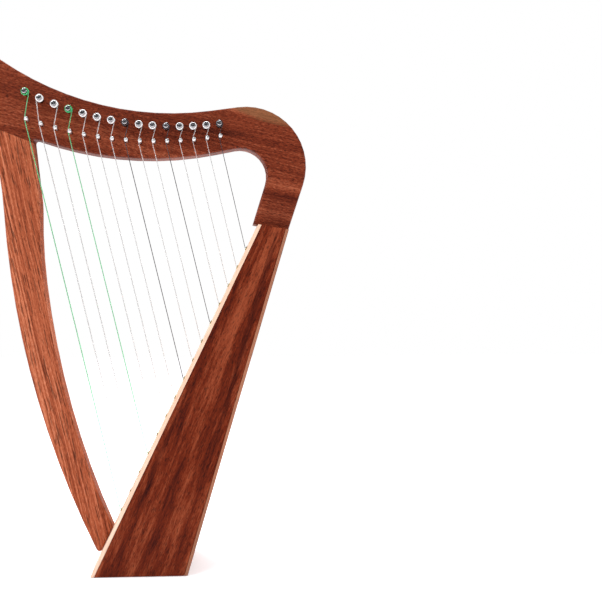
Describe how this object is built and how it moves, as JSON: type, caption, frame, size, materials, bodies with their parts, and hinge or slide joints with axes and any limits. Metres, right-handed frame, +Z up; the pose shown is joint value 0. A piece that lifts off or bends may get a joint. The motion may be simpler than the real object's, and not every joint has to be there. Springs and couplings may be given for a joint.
{
  "type": "lap harp",
  "caption": "Small lap harp with a tapered soundbox, a bowed pillar, a curved neck and tuning pins that turn.",
  "frame": {"origin": "centre of the underside of the base", "axes": "+X from the pillar to the player, +Y away from the side that carries the strings, +Z up"},
  "size_m": [0.3272, 0.12, 0.4932],
  "materials": {
    "red_walnut": "satin lacquer",
    "rosewood": "satin lacquer",
    "spruce": "satin lacquer",
    "plywood": "satin lacquer",
    "maple": "bare",
    "birch": "bare",
    "nickelled_steel": "polished",
    "clear_nylon": "smooth",
    "green_nylon": "smooth",
    "black_nylon": "smooth"
  },
  "bodies": {
    "harp_frame": {"soundboard": "spruce", "left_side_panel": "rosewood", "right_side_panel": "rosewood", "back_panel": "plywood", "base_panel": "rosewood", "neck_block": "maple", "string_rib": "maple", "pillar_block": "maple", "cross_brace": "maple", "lining_left": "maple", "lining_right": "maple", "pillar_screw": "nickelled_steel", "neck_dowel": "birch", "neck": "red_walnut", "pillar": "red_walnut", "bridge_pin_01": "nickelled_steel", "bridge_pin_02": "nickelled_steel", "bridge_pin_03": "nickelled_steel", "bridge_pin_04": "nickelled_steel", "bridge_pin_05": "nickelled_steel", "bridge_pin_06": "nickelled_steel", "bridge_pin_07": "nickelled_steel", "bridge_pin_08": "nickelled_steel", "bridge_pin_09": "nickelled_steel", "bridge_pin_10": "nickelled_steel", "bridge_pin_11": "nickelled_steel", "bridge_pin_12": "nickelled_steel", "bridge_pin_13": "nickelled_steel", "bridge_pin_14": "nickelled_steel", "bridge_pin_15": "nickelled_steel", "string_01": "green_nylon", "string_02": "clear_nylon", "string_03": "clear_nylon", "string_04": "green_nylon", "string_05": "clear_nylon", "string_06": "clear_nylon", "string_07": "clear_nylon", "string_08": "black_nylon", "string_09": "clear_nylon", "string_10": "clear_nylon", "string_11": "black_nylon", "string_12": "clear_nylon", "string_13": "clear_nylon", "string_14": "clear_nylon", "string_15": "black_nylon"},
    "tuning_pin_01_body": {"tuning_pin_01": "nickelled_steel"},
    "tuning_pin_02_body": {"tuning_pin_02": "nickelled_steel"},
    "tuning_pin_03_body": {"tuning_pin_03": "nickelled_steel"},
    "tuning_pin_04_body": {"tuning_pin_04": "nickelled_steel"},
    "tuning_pin_05_body": {"tuning_pin_05": "nickelled_steel"},
    "tuning_pin_06_body": {"tuning_pin_06": "nickelled_steel"},
    "tuning_pin_07_body": {"tuning_pin_07": "nickelled_steel"},
    "tuning_pin_08_body": {"tuning_pin_08": "nickelled_steel"},
    "tuning_pin_09_body": {"tuning_pin_09": "nickelled_steel"},
    "tuning_pin_10_body": {"tuning_pin_10": "nickelled_steel"},
    "tuning_pin_11_body": {"tuning_pin_11": "nickelled_steel"},
    "tuning_pin_12_body": {"tuning_pin_12": "nickelled_steel"},
    "tuning_pin_13_body": {"tuning_pin_13": "nickelled_steel"},
    "tuning_pin_14_body": {"tuning_pin_14": "nickelled_steel"},
    "tuning_pin_15_body": {"tuning_pin_15": "nickelled_steel"}
  },
  "joints": [
    {"name": "tuning_pin_01_turn", "type": "hinge", "parent": "harp_frame", "child": "tuning_pin_01_body", "pos_m": [-0.10634, 0, 0.43898], "axis": [0, -1, 0], "range_deg": [-180, 1080]},
    {"name": "tuning_pin_02_turn", "type": "hinge", "parent": "harp_frame", "child": "tuning_pin_02_body", "pos_m": [-0.09305, 0, 0.43311], "axis": [0, 1, 0], "range_deg": [-180, 1080]},
    {"name": "tuning_pin_03_turn", "type": "hinge", "parent": "harp_frame", "child": "tuning_pin_03_body", "pos_m": [-0.07986, 0, 0.42797], "axis": [0, -1, 0], "range_deg": [-180, 1080]},
    {"name": "tuning_pin_04_turn", "type": "hinge", "parent": "harp_frame", "child": "tuning_pin_04_body", "pos_m": [-0.06676, 0, 0.42353], "axis": [0, -1, 0], "range_deg": [-180, 1080]},
    {"name": "tuning_pin_05_turn", "type": "hinge", "parent": "harp_frame", "child": "tuning_pin_05_body", "pos_m": [-0.05374, 0, 0.41973], "axis": [0, -1, 0], "range_deg": [-180, 1080]},
    {"name": "tuning_pin_06_turn", "type": "hinge", "parent": "harp_frame", "child": "tuning_pin_06_body", "pos_m": [-0.04081, 0, 0.41654], "axis": [0, -1, 0], "range_deg": [-180, 1080]},
    {"name": "tuning_pin_07_turn", "type": "hinge", "parent": "harp_frame", "child": "tuning_pin_07_body", "pos_m": [-0.02796, 0, 0.41393], "axis": [0, -1, 0], "range_deg": [-180, 1080]},
    {"name": "tuning_pin_08_turn", "type": "hinge", "parent": "harp_frame", "child": "tuning_pin_08_body", "pos_m": [-0.01519, 0, 0.41187], "axis": [0, -1, 0], "range_deg": [-180, 1080]},
    {"name": "tuning_pin_09_turn", "type": "hinge", "parent": "harp_frame", "child": "tuning_pin_09_body", "pos_m": [-0.00249, 0, 0.41036], "axis": [0, -1, 0], "range_deg": [-180, 1080]},
    {"name": "tuning_pin_10_turn", "type": "hinge", "parent": "harp_frame", "child": "tuning_pin_10_body", "pos_m": [0.01013, 0, 0.40936], "axis": [0, -1, 0], "range_deg": [-180, 1080]},
    {"name": "tuning_pin_11_turn", "type": "hinge", "parent": "harp_frame", "child": "tuning_pin_11_body", "pos_m": [0.02268, 0, 0.40886], "axis": [0, -1, 0], "range_deg": [-180, 1080]},
    {"name": "tuning_pin_12_turn", "type": "hinge", "parent": "harp_frame", "child": "tuning_pin_12_body", "pos_m": [0.03515, 0, 0.40886], "axis": [0, -1, 0], "range_deg": [-180, 1080]},
    {"name": "tuning_pin_13_turn", "type": "hinge", "parent": "harp_frame", "child": "tuning_pin_13_body", "pos_m": [0.04756, 0, 0.40935], "axis": [0, -1, 0], "range_deg": [-180, 1080]},
    {"name": "tuning_pin_14_turn", "type": "hinge", "parent": "harp_frame", "child": "tuning_pin_14_body", "pos_m": [0.05988, 0, 0.41031], "axis": [0, -1, 0], "range_deg": [-180, 1080]},
    {"name": "tuning_pin_15_turn", "type": "hinge", "parent": "harp_frame", "child": "tuning_pin_15_body", "pos_m": [0.07214, 0, 0.41175], "axis": [0, -1, 0], "range_deg": [-180, 1080]}
  ]
}
